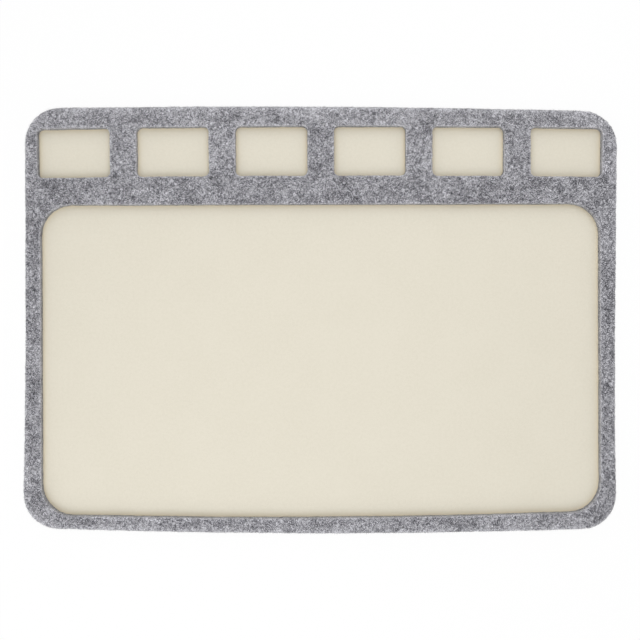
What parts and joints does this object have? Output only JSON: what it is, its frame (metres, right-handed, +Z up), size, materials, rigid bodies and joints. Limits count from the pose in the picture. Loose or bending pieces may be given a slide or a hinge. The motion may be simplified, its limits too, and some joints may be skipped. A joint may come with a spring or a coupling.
{
  "type": "bead mat",
  "caption": "Flat bead mat: a thick grey felt frame with a row of small bead wells and one large work well, glued over a cream flocked foam cloth that keeps beads from rolling.",
  "frame": {"origin": "centre of the outline, on the plane that the underside rests on", "axes": "+X along the long side, to the right; +Y to the rear, towards the row of small wells; +Z up, out of the wells"},
  "size_m": [0.3566, 0.2564, 0.0085],
  "materials": {
    "felt": "matte needle felt, grey marl of light and dark fibres, slightly hairy at the cut edges",
    "nap": "short cream flock, velvety, no gloss",
    "foam": "soft open-cell foam, matte",
    "scrim": "thin off-white net, matte",
    "glue": "milky hot-melt film, dull"
  },
  "bodies": {
    "root": {"bottom_nap": "nap", "lower_foam": "foam", "scrim": "scrim", "upper_foam": "foam", "top_nap": "nap", "glue_film": "glue", "felt_frame": "felt"}
  },
  "joints": []
}
